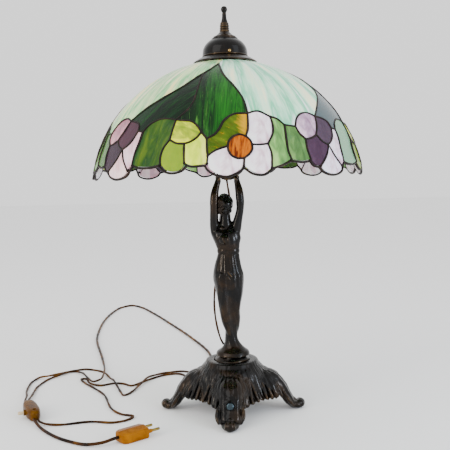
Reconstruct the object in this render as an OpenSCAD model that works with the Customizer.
// Table lamp: leaded glass dome on a cast figure that stands on a four-legged base.
// Frame: +Z up, origin on the lamp's axis at table level, front towards -Y. Millimetres.

/* [Shade] */
// Radius of the sphere that the outside of the glass follows
dome_r = 203; // [202:0.5:204]
// Height of that sphere's centre above the table
dome_z = 324; // [323:0.5:325]
// Thickness of the glass
glass_t = 3; // [2:0.5:4]
// Width of a lead seam between two pieces of glass
seam_w = 3; // [2:0.5:4]
// How far the lead stands proud of the glass, inside and out
lead_proud = 1; // [0.5:0.25:1.5]

/* [Stem] */
// Radius of the threaded riser tube
riser_r = 5; // [4.5:0.1:5.5]
// Radius of the cap dome's straight part
cap_r = 33.5; // [33:0.5:35]
// Height of the cup's underside
cup_z = 350; // [349:1:351]
// Height of the lampholders' axis
holder_z = 444; // [435:1:455]

/* [Base] */
// Distance from the axis to the tip of each foot
foot_reach = 111; // [110:1:112]
// Height of the plinth's rim
plinth_z = 77.6; // [77:0.1:78]
// Radius of the plinth's rim
plinth_r = 39; // [38.5:0.1:39.5]

/* [Push button] */
// Radius of the push button
button_r = 5.4; // [5:0.1:5.5]
// Travel of the push button
button_travel = 2.5; // [1.5:0.5:3]
// Upward tilt of the push button's axis
button_tilt = 15; // [12:1:16]

/* [Leads] */
// Diameter of each thin lead
lead_d = 3.6; // [3.2:0.1:3.7]
// Diameter of the plug's lead
plug_lead_d = 4.4; // [4:0.1:4.6]
// Diameter of the cable behind the figure
cable_d = 3.2; // [2.8:0.1:3.2]

/* [Inline switch] */
// Length of the inline switch's housing
switch_l = 68; // [60:1:70]
// Width of the inline switch's housing
switch_w = 21; // [17:0.5:22]
// Height of the inline switch's housing
switch_h = 18; // [16:0.5:19]
// Travel of its push bar
bar_travel = 6; // [4:0.5:7]

/* [Plug] */
// Length of the plug's body
plug_l = 41; // [38:1:48]
// Width of the plug's body
plug_w = 27; // [26:0.5:30]
// Height of the plug's body
plug_h = 16; // [14:0.5:17]
// Distance between the pins
pin_pitch = 18.6; // [18:0.1:19]
// Radius of a pin
pin_r = 2; // [1.9:0.05:2.1]
// Bare length of a pin
pin_l = 19; // [17:1:20]

/* [Hidden] */

$fn = 48;
repeats = 4;
hem_reach = 1.6 * dome_r;
bronze = [0.20, 0.15, 0.11];
brass = [0.62, 0.47, 0.22];
lead_grey = [0.24, 0.18, 0.15];
amber = [0.72, 0.47, 0.06];
flex_brown = [0.42, 0.28, 0.10];

// One repeat of the glass pattern. A point is [bearing from the front towards +X, angle from
// the top], in degrees as seen from the sphere's centre. Neighbours share their points.
pale_outline = [[0, 12.5], [30, 12.5], [60, 12.5], [90, 12.5], [86, 23.5], [81, 29.5],
    [77, 33.5], [68, 42], [60, 47.3], [53.5, 51.3], [45, 58], [41, 56.5], [37, 57], [33.5, 59.3],
    [31.5, 62.7], [29, 62.5], [26.5, 62.2], [23.8, 59.6], [21, 58.7], [16, 56.3], [11.5, 57.2],
    [10.5, 50.3], [7, 43.2], [1.5, 35.3], [-4, 23.5]];
dark_leaf_outline = [[-13, 33.5], [-22, 42], [-30, 47.3], [-36.5, 51.3], [-45, 58],
    [-41.5, 58.5], [-38, 60], [-37, 62.8], [-34.2, 63.3], [-32, 60.7], [-27, 58.4], [-23, 58.3],
    [-19, 59.1], [-14.5, 54.5], [-12.8, 50.3], [-12.5, 43]];
bright_leaf_outline = [[-4, 23.5], [-9, 29.5], [-13, 33.5], [-12.5, 43], [-12.8, 50.3],
    [-14.5, 54.5], [-19, 59.1], [-16, 59.5], [-12, 60], [-9.3, 62], [-7.4, 64.6], [-5.2, 67.2],
    [-2.5, 65.8], [-0.5, 63.5], [1.5, 60], [5.5, 57.5], [11.5, 57.2], [10.5, 50.3], [7, 43.2],
    [1.5, 35.3]];
left_leaf_outline = [[-34.2, 63.3], [-32, 60.7], [-27, 58.4], [-23, 58.3], [-19, 59.1],
    [-19.6, 63.3], [-20, 67.2], [-22.2, 70.3], [-23, 73.7], [-22.8, 75.8], [-26, 76.5],
    [-30, 76.7], [-33.5, 76.4], [-36, 75.8], [-35.6, 71.7], [-34.6, 67.3]];
lime_top_outline = [[-19, 59.1], [-16, 59.5], [-12, 60], [-9.3, 62], [-7.4, 64.6], [-9, 66.6],
    [-11.5, 68.2], [-13.8, 68.9], [-17, 68.6], [-20, 67.2], [-19.6, 63.3]];
lime_left_outline = [[-20, 67.2], [-17, 68.6], [-13.8, 68.9], [-13.6, 72.3], [-13.2, 75.6],
    [-14, 77.6], [-17, 78.7], [-20, 78.2], [-22.8, 75.8], [-23, 73.7], [-22.2, 70.3]];
lime_right_outline = [[-7.4, 64.6], [-5.2, 67.2], [-5, 70.8], [-4.6, 73.7], [-4.8, 76],
    [-7.5, 76.5], [-10.5, 76.6], [-13.2, 75.6], [-13.6, 72.3], [-13.8, 68.9], [-11.5, 68.2],
    [-9, 66.6]];
gold_leaf_outline = [[-5.2, 67.2], [-2.5, 65.8], [-0.5, 63.5], [1.5, 60], [5.5, 57.5],
    [11.5, 57.2], [11.2, 60.7], [10.7, 64.2], [9.8, 66.6], [7.5, 65.9], [5.2, 66.5], [3.4, 68],
    [2.7, 70.3], [0, 71.1], [-2.2, 72], [-4.6, 73.7], [-5, 70.8]];
white_top_outline = [[11.5, 57.2], [16, 56.3], [21, 58.7], [21.3, 61.5], [20.7, 65.3],
    [18, 69.6], [15, 69.9], [11.9, 69.8], [11.3, 68.2], [9.8, 66.6], [10.7, 64.2], [11.2, 60.7]];
white_right_outline = [[11.9, 69.8], [15, 69.9], [18, 69.6], [18.9, 73.3], [18.5, 78],
    [15.5, 80], [12, 79.6], [8.3, 77.2], [8.6, 74.8], [10.7, 73.2], [11.8, 71.5]];
white_left_outline = [[2.7, 70.3], [3, 72], [4, 73.6], [6.2, 74.8], [8.6, 74.8], [8.3, 77.2],
    [5.5, 79.3], [2, 80.5], [-1.7, 79.5], [-4, 77.8], [-4.8, 76], [-4.6, 73.7], [-2.2, 72],
    [0, 71.1]];
orange_outline = [[9.8, 66.6], [11.3, 68.2], [11.9, 69.8], [11.8, 71.5], [10.7, 73.2],
    [8.6, 74.8], [6.2, 74.8], [4, 73.6], [3, 72], [2.7, 70.3], [3.4, 68], [5.2, 66.5],
    [7.5, 65.9]];
light_leaf_outline = [[21, 58.7], [23.8, 59.6], [26.5, 62.2], [26, 67.2], [25.8, 72.2],
    [26.5, 75], [22.5, 76.8], [18.5, 78], [18.9, 73.3], [18, 69.6], [20.7, 65.3], [21.3, 61.5]];
right_leaf_outline = [[26.5, 62.2], [29, 62.5], [31.5, 62.7], [32.5, 65.5], [34.8, 67.8],
    [34.4, 71.8], [35, 75.2], [31.5, 75.8], [26.5, 75], [25.8, 72.2], [26, 67.2]];
lilac_outline = [[31.5, 62.7], [33.5, 59.3], [37, 57], [41, 56.5], [45, 58], [43.3, 62.3],
    [41, 66.1], [37.5, 67.4], [34.8, 67.8], [32.5, 65.5]];
purple_outline = [[45, 58], [48.5, 58.5], [52, 60], [53, 62.8], [51.5, 66], [49, 68.5],
    [46.3, 69.9], [43.5, 68.7], [41, 66.1], [43.3, 62.3]];
pearl_side_outline = [[53, 62.8], [55.8, 63.3], [55.4, 67.3], [54.4, 71.7], [54, 75.8],
    [51.7, 77.6], [48.3, 73.8], [46.3, 69.9], [49, 68.5], [51.5, 66]];
pearl_low_outline = [[46.3, 69.9], [48.3, 73.8], [51.7, 77.6], [51, 79.2], [48, 80.4],
    [44, 80.5], [40.5, 79.2], [39.5, 77.6], [43, 74.9], [45.3, 72]];
plum_outline = [[34.8, 67.8], [37.5, 67.4], [41, 66.1], [43.5, 68.7], [46.3, 69.9], [45.3, 72],
    [43, 74.9], [39.5, 77.6], [37, 77.3], [35, 75.2], [34.4, 71.8]];
outlines = [pale_outline, dark_leaf_outline, bright_leaf_outline, left_leaf_outline,
    lime_top_outline, lime_left_outline, lime_right_outline, gold_leaf_outline,
    white_top_outline, white_right_outline, white_left_outline, orange_outline,
    light_leaf_outline, right_leaf_outline, lilac_outline, purple_outline,
    pearl_side_outline, pearl_low_outline, plum_outline];
// Scalloped lower edge of the lead, over one repeat
hem_outline = [[-35.5, 76.8], [-33.3, 77.6], [-30, 77.9], [-26, 77.7], [-23.5, 77.2],
    [-22.3, 78.3], [-20.3, 79.6], [-17, 80], [-13.8, 79], [-12.3, 77.3], [-10.5, 77.8],
    [-7.5, 77.7], [-5.6, 77.6], [-4.8, 79], [-2.2, 80.8], [2, 81.7], [5.9, 80.5], [8.4, 78.7],
    [11.5, 80.8], [15.7, 81.2], [19.3, 79], [22.8, 78], [26.4, 76.5], [31.5, 77], [34.6, 76.6],
    [36.3, 78.4], [38.8, 79], [40, 80.3], [43.8, 81.7], [48.3, 81.6], [51.8, 80.3],
    [53, 78.4]];

// Direction of a pattern point, as a unit vector
function aim(p) = [sin(p[1]) * sin(p[0]), -sin(p[1]) * cos(p[0]), cos(p[1])];
// Mean of a list of pattern points
function mean(list) = [for (k = [0 : len(list[0]) - 1]) [for (p = list) p[k]] * [for (p = list) 1]
    / len(list)];
// Where a pattern point meets the plane one unit from the centre that faces pattern point c
function on_plane(p, c) = let (v = aim(p), down = [cos(c[1]) * sin(c[0]), -cos(c[1]) * cos(c[0]),
    -sin(c[1])], along = [cos(c[0]), sin(c[0]), 0]) [v * down, v * along] / (v * aim(c));

// Solid angle behind an outline, from below the glass to above it, drawn in by half a seam
module sector(outline) {
    c = mean(outline);
    low = 0.5 * dome_r;
    high = 1.1 * dome_r;
    rotate([0, 0, c[0] - 90])
        rotate([0, c[1], 0])
            translate([0, 0, low])
                linear_extrude(height = high - low, scale = high / low)
                    offset(delta = -seam_w / 2 * low / dome_r)
                        polygon([for (p = outline) low * on_plane(p, c)]);
}

module glass(outline, tint) {
    color(tint)
        translate([0, 0, dome_z])
            for (k = [0 : repeats - 1])
                rotate([0, 0, k * 360 / repeats])
                    intersection() {
                        difference() {
                            sphere(r = dome_r);
                            sphere(r = dome_r - glass_t);
                        }
                        sector(outline);
                    }
}

// Solid above the scalloped hem
module hem_solid() {
    ring = [for (k = [0 : repeats - 1], p = hem_outline) hem_reach
        * aim([p[0] + k * 360 / repeats, p[1]])];
    n = len(ring);
    polyhedron(points = concat(ring, [[0, 0, hem_reach], [0, 0, 0]]),
        faces = concat([for (i = [0 : n - 1]) [i, n, (i + 1) % n]],
            [for (i = [0 : n - 1]) [i, (i + 1) % n, n + 1]]));
}

module lead_lattice() {
    color(lead_grey)
        translate([0, 0, dome_z])
            difference() {
                intersection() {
                    difference() {
                        sphere(r = dome_r + lead_proud);
                        sphere(r = dome_r - glass_t - lead_proud);
                    }
                    hem_solid();
                }
                cylinder(r = dome_r * sin(11.7), h = 2 * dome_r);
                for (k = [0 : repeats - 1], outline = outlines)
                    rotate([0, 0, k * 360 / repeats])
                        sector(outline);
            }
}

module glass_pale() { glass(pale_outline, [0.80, 0.88, 0.82]); }
module glass_dark_leaf() { glass(dark_leaf_outline, [0.06, 0.16, 0.08]); }
module glass_bright_leaf() { glass(bright_leaf_outline, [0.10, 0.45, 0.15]); }
module glass_left_leaf() { glass(left_leaf_outline, [0.25, 0.42, 0.20]); }
module glass_lime_top() { glass(lime_top_outline, [0.78, 0.86, 0.32]); }
module glass_lime_left() { glass(lime_left_outline, [0.62, 0.72, 0.05]); }
module glass_lime_right() { glass(lime_right_outline, [0.80, 0.88, 0.45]); }
module glass_gold_leaf() { glass(gold_leaf_outline, [0.35, 0.43, 0.14]); }
module glass_white_top() { glass(white_top_outline, [0.88, 0.82, 0.84]); }
module glass_white_right() { glass(white_right_outline, [0.87, 0.82, 0.85]); }
module glass_white_left() { glass(white_left_outline, [0.90, 0.84, 0.86]); }
module glass_orange() { glass(orange_outline, [0.80, 0.42, 0.04]); }
module glass_light_leaf() { glass(light_leaf_outline, [0.51, 0.67, 0.43]); }
module glass_right_leaf() { glass(right_leaf_outline, [0.40, 0.57, 0.33]); }
module glass_lilac() { glass(lilac_outline, [0.70, 0.62, 0.68]); }
module glass_purple() { glass(purple_outline, [0.38, 0.28, 0.36]); }
module glass_pearl_side() { glass(pearl_side_outline, [0.84, 0.82, 0.88]); }
module glass_pearl_low() { glass(pearl_low_outline, [0.86, 0.82, 0.86]); }
module glass_plum() { glass(plum_outline, [0.40, 0.27, 0.36]); }

// Turned parts on the stem
nut_across_corners = 9;
seat_nut_top = 561.3;
cap_top = 569.3;
riser_top = 578;
turn_gap = 0.05;
cap_wall = 1.5;

module hex_nut(z, h, r, bore) {
    translate([0, 0, z])
        difference() {
            cylinder(r = r, h = h, $fn = 6);
            translate([0, 0, -1])
                cylinder(r = bore, h = h + 2);
        }
}

module riser_tube() {
    color(brass)
        translate([0, 0, cup_z + 6])
            difference() {
                cylinder(r = riser_r, h = riser_top - cup_z - 6);
                translate([0, 0, -1])
                    cylinder(r = riser_r - 1.2, h = riser_top);
            }
}

module cup_nut() {
    color(brass)
        hex_nut(cup_z + 9, 5, nut_across_corners, riser_r);
}

module seat_nut() {
    color(brass)
        hex_nut(seat_nut_top - 5, 5, nut_across_corners, riser_r);
}

module stand_cup() {
    color(bronze)
        translate([0, 0, cup_z])
            difference() {
                rotate_extrude()
                    polygon([[0, 0], [6, 0], [10, 2], [12.5, 6], [13.5, 12], [15, 18], [17, 22],
                        [16, 23], [13.5, 19], [11.5, 12], [10.8, 9], [0, 9]]);
                translate([0, 0, 6])
                    cylinder(r = riser_r, h = 20);
                translate([-2, 6.5, -1])
                    cylinder(r = cable_d / 2, h = 6);
            }
}

module finial() {
    color(bronze)
        difference() {
            translate([0, 0, cap_top + 0.3])
                rotate_extrude()
                    polygon(concat([[0, 0], [7.2, 0], [7.4, 1], [7.4, 2.2], [6.6, 2.7], [6.6, 3.3],
                        [7.2, 3.8], [7.2, 5.4], [6.4, 5.9], [6.4, 6.6], [7, 7.2], [7, 9], [6.2, 10],
                        [6.6, 11.4], [5.2, 14], [3.9, 18], [3.3, 22], [3.3, 26], [2.9, 28.7]],
                        [for (a = [-50 : 20 : 90]) [4.7 * cos(a), 32.6 + 4.7 * sin(a)]]));
            translate([0, 0, cap_top - 1])
                cylinder(r = riser_r + turn_gap, h = riser_top - cap_top + 3);
        }
}

module cap_dome() {
    color(bronze)
        difference() {
            rotate_extrude()
                polygon([[0, cap_top], [7.3, cap_top], [9, 567.3], [13.6, 563.6], [18.2, 560.3],
                    [18.8, 558.8], [22.5, 556.6], [26.8, 553], [30, 549], [32.2, 544.5],
                    [cap_r - 0.4, 540], [cap_r, 532.4], [cap_r - cap_wall, 532.4],
                    [cap_r - cap_wall - 0.4, 540], [30.7, 544], [28.7, 548], [25.7, 551.8],
                    [21.7, 555.2], [17, 558.4], [12, seat_nut_top + 0.3],
                    [0, seat_nut_top + 0.3]]);
            translate([0, 0, seat_nut_top - 1])
                cylinder(r = riser_r + turn_gap, h = 20);
            cap_screw_places()
                cylinder(r = 1.5, h = 12, center = true);
        }
}

screw_z = 536;
module cap_screw_places() {
    for (a = [13.5, 133.5, 253.5])
        rotate([0, 0, a - 90])
            translate([cap_r, 0, screw_z])
                rotate([0, 90, 0])
                    children();
}

module cap_screws() {
    color(brass)
        cap_screw_places()
            rotate_extrude()
                polygon([[0, -cap_wall - 0.6], [1.5, -cap_wall - 0.6], [1.5, 0.1], [2.3, 0.1],
                    [2.3, 1.4], [1.6, 2.2], [0, 2.5]]);
}

module collar_ring() {
    color(brass)
        rotate_extrude()
            polygon([[30, 520], [31.4, 520], [31.4, 529.6], [34.2, 529.6], [45.8, 523],
                [47.4, 523.4], [46.8, 524.8], [34.9, 531.6], [31.4, 531.6], [31.4, 541],
                [30, 541]]);
}

// Light cluster: a hub on the riser with a lampholder and a bulb on each side
hub_r = 13;
holder_x = 21;
shell_x = 31;
bulb_x = 60;
bulb_r = 22.5;

module sides() {
    for (k = [0, 1])
        rotate([0, 0, 180 * k])
            translate([0, 0, holder_z])
                rotate([0, 90, 0])
                    children();
}

module cluster_hub() {
    color(brass)
        difference() {
            union() {
                translate([0, 0, holder_z - 9])
                    cylinder(r = hub_r, h = 18);
                sides()
                    cylinder(r = 4.5, h = holder_x);
            }
            cylinder(r = riser_r, h = 1000);
        }
}

module lampholder_caps() {
    color([0.16, 0.14, 0.13])
        sides()
            rotate_extrude()
                polygon([[0, holder_x], [8, holder_x], [15, holder_x + 4], [16, shell_x],
                    [0, shell_x]]);
}

module lampholder_shells() {
    color([0.18, 0.16, 0.15])
        sides()
            rotate_extrude()
                polygon([[0, shell_x], [17, shell_x], [17, shell_x + 8], [16, shell_x + 9],
                    [16, 58], [17.3, 59], [17.3, 62], [15, 62], [13.5, 58], [13.5, 36], [0, 36]]);
}

module bulb_caps() {
    color(brass)
        sides()
            rotate_extrude()
                polygon([[0, 37], [4, 37], [9, 40], [13, 42], [13, bulb_x], [12, bulb_x + 4],
                    [0, bulb_x + 4]]);
}

module bulb_glass() {
    color([0.92, 0.91, 0.86])
        sides()
            rotate_extrude()
                polygon(concat([[0, bulb_x + 4], [12, bulb_x + 4]],
                    [for (a = [-55 : 14.5 : 90]) [bulb_r * cos(a), 86 + bulb_r * sin(a)]]));
}

// Rings of an upright body. Each row is [height, centre x, centre y, half width, half depth].
module lofted(rows, sides = 20) {
    n = len(rows);
    points = [for (r = rows, i = [0 : sides - 1]) let (a = 360 * i / sides)
        [r[1] + r[3] * cos(a), r[2] + r[4] * sin(a), r[0]]];
    wall = [for (k = [0 : n - 2], i = [0 : sides - 1]) let (a = k * sides + i,
        b = k * sides + (i + 1) % sides) each [[a, a + sides, b], [b, a + sides, b + sides]]];
    polyhedron(points = points, faces = concat(wall, [[for (i = [0 : sides - 1]) i]],
        [[for (i = [sides - 1 : -1 : 0]) (n - 1) * sides + i]]));
}

figure_rows = [[78, 2, 0, 28, 26], [84, 2, 0, 29, 26.5], [89, 2, 0, 26, 23], [93, 2.5, 0, 20, 18],
    [98, 2, 0, 15, 13.5], [104, 0.8, 0, 11.2, 10.5], [111, 0, 0, 9.8, 9.6],
    [118, 0.3, 0, 10.4, 9.8], [126, 0.4, 0, 11.9, 10.6], [134, 0, 0, 13.6, 11.5],
    [145, -0.8, 0, 14.4, 12], [155, -2, 0, 15, 12.6], [163, -2, 0, 16.4, 13.2],
    [172, -2, 0.5, 18.3, 14.2], [181, -2, 1, 20.8, 15.2], [190, -2, 1.5, 22.9, 16.2],
    [200, -2.4, 2, 23.8, 16.6], [208, -2.4, 2, 23.5, 16], [217, -2.9, 1.5, 21.4, 14.5],
    [226, -2.6, 1, 19.7, 13], [236, -1.7, 0.5, 17.5, 11.8], [245, -1.5, 0, 17.6, 12],
    [254, -2.6, -0.5, 19, 13.5], [262, -3.4, -1, 21, 14.2], [270, -5, 0, 21.4, 12.4],
    [277, -5.2, 1, 19.4, 10.2], [283, -5.2, 1.5, 13.6, 8.6], [288, -5, 1.5, 9.2, 7.8],
    [296, -5, 0.5, 7.6, 7.2]];
head_rows = [[293, -5.2, -3, 4.5, 6], [296, -5.2, -2.5, 8.5, 10], [301, -5.4, -1.5, 11.2, 13],
    [307, -5.4, -1, 12, 14], [313, -5.4, -0.5, 12.2, 14.5], [319, -5.4, 0, 11.5, 13.8],
    [324, -5.4, 0, 8.8, 11], [327.5, -5.4, 0, 4, 5.5]];

module figure_body() {
    color(bronze)
        union() {
            translate([0, 0, 71])
                cylinder(r = 26.4, h = 7.2);
            lofted(figure_rows);
        }
}

module figure_head() {
    color(bronze)
        difference() {
            lofted(head_rows, 16);
            lofted(figure_rows);
        }
}

function unit(v) = v / norm(v);
// Direction of a route at its point i
function heading(route, i) = unit(route[min(i + 1, len(route) - 1)] - route[max(i - 1, 0)]);

// Tube along a route, with a radius at each point and the side direction square to guide
module swept(route, radii, guide, sides = 8) {
    n = len(route);
    points = [for (i = [0 : n - 1]) let (t = heading(route, i), s = unit(cross(t, guide)),
        u = cross(s, t)) each [for (k = [0 : sides - 1]) let (a = 360 * (k + 0.5) / sides)
        route[i] + radii[i] * (cos(a) * s + sin(a) * u)]];
    wall = [for (i = [0 : n - 2], k = [0 : sides - 1]) let (a = i * sides + k,
        b = i * sides + (k + 1) % sides) each [[a, b, a + sides], [b, b + sides, a + sides]]];
    polyhedron(points = points, faces = concat(wall, [[for (k = [sides - 1 : -1 : 0]) k]],
        [[for (k = [0 : sides - 1]) (n - 1) * sides + k]]));
}

left_arm_route = [[-14, 1.5, 257], [-18.6, 1, 268], [-21.3, 0, 278], [-22, -1.6, 289],
    [-21.8, -3.4, 302], [-21.5, -4.4, 314], [-20.7, -4, 326], [-18.8, -3.4, 335],
    [-15.6, -2.4, 345], [-14.8, -1.6, 352]];
left_arm_radii = [5, 8, 7.4, 6.6, 6.4, 6.5, 6.4, 5.6, 4.8, 2.6];
right_arm_route = [[6, 1.5, 264], [10, 1, 274], [13, 0, 284], [15.6, -1.8, 296],
    [17.6, -3.4, 306], [18, -4, 316], [17.5, -3.8, 326], [16.3, -3.2, 335], [15, -2.4, 345],
    [14.8, -1.6, 352]];
right_arm_radii = [5.5, 7.8, 7.3, 6.2, 5.8, 6.2, 6.4, 6, 4.9, 2.6];

module arm(route, radii) {
    difference() {
        swept(route, radii, [0, 1, 0], 12);
        lofted(figure_rows);
        lofted(head_rows, 16);
        translate([0, 0, cup_z])
            rotate_extrude()
                polygon([[0, 0], [6, 0], [10, 2], [12.5, 6], [13.5, 12], [0, 12]]);
    }
}

module left_arm() {
    color(bronze)
        arm(left_arm_route, left_arm_radii);
}

module right_arm() {
    color(bronze)
        arm(right_arm_route, right_arm_radii);
}

// Base: a turned skirt under the plinth, and four legs with scrolled feet
leg_side = [[44, 66], [50, 62.5], [56, 58], [62, 53.5], [68, 48.5], [73, 42], [77, 34], [81, 26],
    [85, 19], [90, 12.5], [95, 10], [99, 11], [103, 12.5], [108, 10.5], [foot_reach, 6],
    [109.5, 2], [105, 0], [93, 0], [88, 2.5], [82, 7], [77, 11], [70, 16.5], [64, 21], [59, 30],
    [54, 42], [50, 54]];
leg_plan = [[40, 15], [58, 17], [72, 18], [82, 18], [90, 17], [96, 14.5], [102, 11.5],
    [107, 9.5], [foot_reach, 6]];
boss_reach = 84.5;
bezel_t = 2.5;
switch_bore = 6.2;
spring_seat = 8;
spring_h = 4;

module leg() {
    intersection() {
        rotate([90, 0, 0])
            linear_extrude(height = 40, center = true)
                polygon(leg_side);
        linear_extrude(height = 80)
            polygon(concat(leg_plan, [for (i = [len(leg_plan) - 1 : -1 : 0])
                [leg_plan[i][0], -leg_plan[i][1]]]));
    }
}

// The push button's own frame: Z points out of the front leg
module at_button() {
    translate([0, -boss_reach, 31 + (boss_reach - 88) * tan(button_tilt)])
        rotate([90 - button_tilt, 0, 0])
            children();
}

module base_casting() {
    color(bronze)
        difference() {
            union() {
                rotate_extrude()
                    polygon([[4.2, 71], [26.4, 71], [26.4, 76.5], [30, plinth_z],
                        [37, plinth_z], [plinth_r, 76], [plinth_r, 73.5], [37.6, 72], [44, 69.5],
                        [50, 62.5], [54, 54], [57, 44], [61, 32], [67, 22], [63.5, 20.5],
                        [57.5, 31], [53.5, 43], [50, 53], [45.5, 60], [38, 65], [13, 66], [4.2, 66]]);
                for (k = [0 : 3])
                    rotate([0, 0, 90 * k])
                        leg();
                at_button()
                    translate([0, 0, -8])
                        cylinder(r = 9.5, h = 8);
            }
            for (k = [0 : 3], a = [25, 45, 65])
                rotate([0, 0, 90 * k + a])
                    translate([64, 0, 16])
                        rotate([0, 90, 0])
                            cylinder(r = 9, h = 30, center = true);
            at_button() {
                translate([0, 0, -20])
                    cylinder(r = switch_bore, h = 30);
                translate([0, 0, -40])
                    cylinder(r = 2.5, h = 30);
                cylinder(r = 9.5, h = 12);
            }
        }
}

module tie_rod() {
    color(brass)
        translate([0, 0, 52])
            cylinder(r = 4, h = 19);
}

module base_washer() {
    color(brass)
        translate([0, 0, 64])
            difference() {
                cylinder(r = 12, h = 2);
                translate([0, 0, -1])
                    cylinder(r = 4.05, h = 4);
            }
}

module base_nut() {
    color(brass)
        hex_nut(57, 7, 8, 4.05);
}

// Push button with its bezel, switch barrel and return spring
module push_bezel() {
    color([0.30, 0.29, 0.29])
        at_button()
            difference() {
                rotate_extrude()
                    polygon([[0, 0], [8.2, 0], [8.2, 1.3], [7.2, bezel_t], [0, bezel_t]]);
                translate([0, 0, -1])
                    cylinder(r = button_r + turn_gap, h = 10);
            }
}

module push_switch() {
    color([0.12, 0.12, 0.12])
        at_button()
            difference() {
                translate([0, 0, -18])
                    cylinder(r = switch_bore - 0.05, h = 18);
                translate([0, 0, -spring_seat])
                    cylinder(r = button_r + turn_gap, h = 10);
            }
}

module button_spring() {
    color("silver")
        at_button()
            translate([0, 0, -spring_seat])
                difference() {
                    cylinder(r = 3.2, h = spring_h);
                    translate([0, 0, -1])
                        cylinder(r = 2.4, h = 6);
                }
}

module push_button() {
    color([0.70, 0.72, 0.76])
        at_button()
            translate([0, 0, -spring_seat + spring_h + turn_gap])
                rotate_extrude()
                    polygon([[0, button_travel + 0.5], [3.5, button_travel + 0.5], [3.5, 0],
                        [button_r, 0], [button_r, 8.6], [button_r - 0.8, 9.7],
                        [button_r - 2.4, 10.2], [0, 10.4]]);
}

// Clamp under the base that the three leads come out of, towards the back left
clamp_face = 42;
clamp_z = 18;
clamp_step = 7;
module at_clamp() {
    rotate([0, 0, 135])
        children();
}

module cord_clamp() {
    color([0.20, 0.19, 0.18])
        at_clamp()
            difference() {
                union() {
                    translate([clamp_face - 12, -12, clamp_z - 4])
                        cube([12, 24, 8]);
                    translate([clamp_face - 9, -4, clamp_z + 4])
                        cube([6, 8, 41.8]);
                }
                for (y = [-8.8, 8.8])
                    translate([clamp_face - 9, y, clamp_z - 5])
                        cylinder(r = 1.5, h = 12);
            }
}

module clamp_screws() {
    color(brass)
        at_clamp()
            for (y = [-8.8, 8.8])
                translate([clamp_face - 9, y, clamp_z - 6])
                    union() {
                        cylinder(r = 2.6, h = 2);
                        cylinder(r = 1.5, h = 11);
                    }
}

// Inline switch: the housing's long axis lies along +X of its own frame, towards the back
switch_place = [-304, -33];
switch_turn = 119;
switch_half = switch_l / 2;
strand_gap = 2.4;
bushing_r = 4.5;
module at_switch() {
    translate([switch_place[0], switch_place[1], 0])
        rotate([0, 0, switch_turn])
            children();
}

// A point in the inline switch's frame, as a point in the lamp's frame
function from_switch(x, y, z) = [switch_place[0] + x * cos(switch_turn) - y * sin(switch_turn),
    switch_place[1] + x * sin(switch_turn) + y * cos(switch_turn), z];

module housing_half(z, h) {
    translate([0, 0, z])
        linear_extrude(height = h)
            polygon(concat([for (a = [-70 : 20 : 70]) [switch_half - 9 + 9 * cos(a),
                switch_w / 2 * sin(a)]], [for (a = [110 : 20 : 250]) [9 - switch_half
                + 9 * cos(a), switch_w / 2 * sin(a)]]));
}

module bushing_half(z) {
    translate([-6 - bushing_r, switch_w / 2 - 1, z])
        cube([2 * bushing_r, 3.5, bushing_r]);
}

module bar_path(r, reach) {
    translate([-6, 0, switch_h / 2])
        rotate([-90, 0, 0])
            cylinder(r = r, h = reach);
}

module switch_lower() {
    color([0.49, 0.33, 0.12])
        at_switch()
            difference() {
                union() {
                    housing_half(0, switch_h / 2);
                    bushing_half(switch_h / 2 - bushing_r);
                }
                bar_path(2.6, 30);
            }
}

module switch_upper() {
    color([0.53, 0.36, 0.13])
        at_switch()
            difference() {
                union() {
                    housing_half(switch_h / 2, switch_h / 2);
                    bushing_half(switch_h / 2);
                }
                bar_path(2.6, 30);
                translate([-switch_half + 11, 0, switch_h - 4])
                    cylinder(r = 2.6, h = 6);
            }
}

module switch_bar() {
    color([0.88, 0.80, 0.70])
        at_switch()
            translate([0, bar_travel + 0.5, 0])
                bar_path(2.55, 14.5);
}

module switch_screw() {
    color([0.12, 0.10, 0.08])
        at_switch()
            translate([-switch_half + 11, 0, switch_h - 4])
                cylinder(r = 2.5, h = 1.6);
}

// Plug: its cable end is at plug_place and its pins point along +X of its own frame
plug_place = [-149, -141];
plug_turn = 42;
sleeve_l = 6;
module at_plug() {
    translate([plug_place[0], plug_place[1], plug_h / 2])
        rotate([0, 0, plug_turn])
            children();
}

module plug_body() {
    color(amber)
        at_plug()
            translate([0, 0, -plug_h / 2])
                linear_extrude(height = plug_h)
                    polygon([[0, -8], [3, -11.5], [8, -plug_w / 2], [plug_l - 1, -plug_w / 2],
                        [plug_l, -plug_w / 2 + 1], [plug_l, plug_w / 2 - 1],
                        [plug_l - 1, plug_w / 2], [8, plug_w / 2], [3, 11.5], [0, 8]]);
}

module pin_places(x) {
    for (y = [-pin_pitch / 2, pin_pitch / 2])
        translate([x, y, 0])
            rotate([0, 90, 0])
                children();
}

module plug_sleeves() {
    color(amber)
        at_plug()
            pin_places(plug_l)
                cylinder(r = pin_r + 0.6, h = sleeve_l);
}

module plug_pins() {
    color([0.70, 0.66, 0.50])
        at_plug()
            pin_places(plug_l + sleeve_l)
                cylinder(r = pin_r, h = pin_l - sleeve_l);
}

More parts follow.
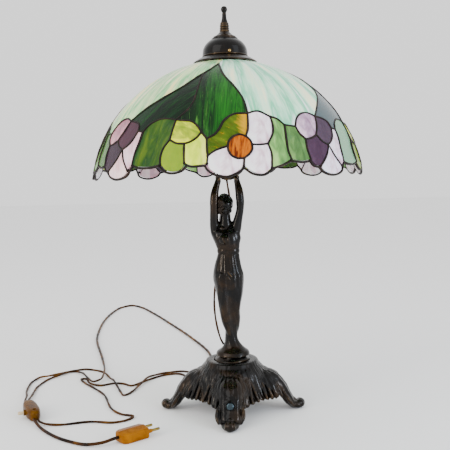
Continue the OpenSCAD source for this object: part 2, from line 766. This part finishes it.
// Routes of the leads. A lead lies on the table, and passes over another in a low hump.
lie = 1.9;
over = 6.2;
ramp = 3.5;
function from_clamp(out, side, z) = let (a = 135) [out * cos(a) - side * sin(a),
    out * sin(a) + side * cos(a), z];
upper_route = [from_clamp(clamp_face, -clamp_step, clamp_z),
    from_clamp(clamp_face + 8, -clamp_step, clamp_z - 1), [-36, 58, 7], [-40, 78, lie],
    [-44, 150, lie], [-57, 311, lie], [-108, 455, lie], [-167, 590, lie], [-237, 740, lie],
    [-282, 822, lie], [-313, 850, lie], [-336, 824, lie], [-346, 760, lie], [-346, 660, lie],
    [-336, 560, lie], [-316, 444, lie], [-273, 302, lie], [-250, 222, ramp], [-242, 188, over],
    [-238, 160, over], [-237, 134, over], [-246, 121, over], [-260, 140, over],
    [-272, 163, over], [-284, 186, ramp], [-299, 199, lie], [-312, 188, 4],
    [-322, 169, over], [-336, 157, over], [-351, 159, ramp], [-359, 138, lie], [-350, 80, 3],
    [-338, 45, 6], from_switch(switch_half + 8, strand_gap, 9),
    from_switch(switch_half, strand_gap, 9)];
base_a_route = [from_clamp(clamp_face, 0, clamp_z), from_clamp(clamp_face + 8, 0, clamp_z - 1),
    [-46, 56, 6], [-53, 74, lie], [-60, 125, lie], [-72, 172, lie], [-96, 194, lie],
    [-128, 186, lie], [-148, 164, ramp], [-156, 140, over], [-163, 112, ramp], [-174, 66, lie],
    [-181, 58, lie], [-189, 74, lie], [-203, 108, ramp], [-212, 127, over], [-222, 148, ramp],
    [-243, 190, lie], [-262, 206, lie], [-285, 213, lie], [-309, 199, lie], [-324, 175, lie],
    [-334, 152, lie], [-340, 110, lie], [-332, 52, 4],
    from_switch(switch_half + 10, -strand_gap, 8), from_switch(switch_half, -strand_gap, 8)];
base_b_route = [from_clamp(clamp_face, clamp_step, clamp_z),
    from_clamp(clamp_face + 8, clamp_step, clamp_z - 1), [-56, 46, 5], [-64, 66, lie],
    [-74, 110, lie], [-86, 156, lie], [-104, 178, lie], [-128, 172, lie], [-154, 143, lie],
    [-178, 110, lie], [-194, 121, lie], [-211, 124, lie], [-232, 112, lie], [-252, 124, lie],
    [-268, 152, lie], [-275, 150, lie], [-262, 126, lie], [-240, 98, lie], [-214, 60, lie],
    [-187, -8, lie], [-168, -32, lie], [-147, -42, lie], [-153, -57, lie], [-172, -68, lie],
    [-205, -64, lie], [-250, -76, lie], [-270, -76, 3.5], from_switch(-switch_half - 10, -2.7, 5),
    from_switch(-switch_half, -2.7, 5)];
plug_route = [from_switch(-switch_half, 2.9, 6), from_switch(-switch_half - 10, 2.9, 5.5),
    [-271, -92, 3], [-240, -124, 2.3], [-214, -142, 2.3], [-190, -153, 3], [-168, -153, 5.5],
    [plug_place[0] - 7 * cos(plug_turn), plug_place[1] - 7 * sin(plug_turn), plug_h / 2],
    [plug_place[0], plug_place[1], plug_h / 2]];
cable_route = [[-2, 6.5, 350], [-1, 8, 342], [1, 17, 322], [-1, 21, 295], [-7, 22, 262],
    [-17, 21, 222], [-24, 18, 186], [-26, 15, 160], [-23.5, 14, 130], [-17, 13, 104],
    [-12.5, 11.5, 96]];
up = [0, 0, 1];

module tube(route, d, guide) {
    swept(route, [for (p = route) d / 2], guide, 8);
}

module cup_cable() {
    color(flex_brown)
        difference() {
            tube(cable_route, cable_d, [1, 0, 0]);
            lofted(figure_rows);
        }
}
module lead_upper() { color(flex_brown) tube(upper_route, lead_d, up); }
module lead_base_a() { color(flex_brown) tube(base_a_route, lead_d, up); }
module lead_base_b() { color(flex_brown) tube(base_b_route, lead_d, up); }
module lead_plug() { color(flex_brown) tube(plug_route, plug_lead_d, up); }

base_casting();
tie_rod();
base_washer();
base_nut();
figure_body();
figure_head();
left_arm();
right_arm();
stand_cup();
cup_nut();
riser_tube();
cluster_hub();
lampholder_caps();
lampholder_shells();
bulb_caps();
bulb_glass();
seat_nut();
collar_ring();
cap_dome();
cap_screws();
finial();
glass_pale();
glass_dark_leaf();
glass_bright_leaf();
glass_left_leaf();
glass_lime_top();
glass_lime_left();
glass_lime_right();
glass_gold_leaf();
glass_white_top();
glass_white_right();
glass_white_left();
glass_orange();
glass_light_leaf();
glass_right_leaf();
glass_lilac();
glass_purple();
glass_pearl_side();
glass_pearl_low();
glass_plum();
lead_lattice();
push_bezel();
push_button();
button_spring();
push_switch();
cord_clamp();
clamp_screws();
cup_cable();
lead_upper();
lead_base_a();
lead_base_b();
lead_plug();
switch_lower();
switch_upper();
switch_bar();
switch_screw();
plug_body();
plug_pins();
plug_sleeves();
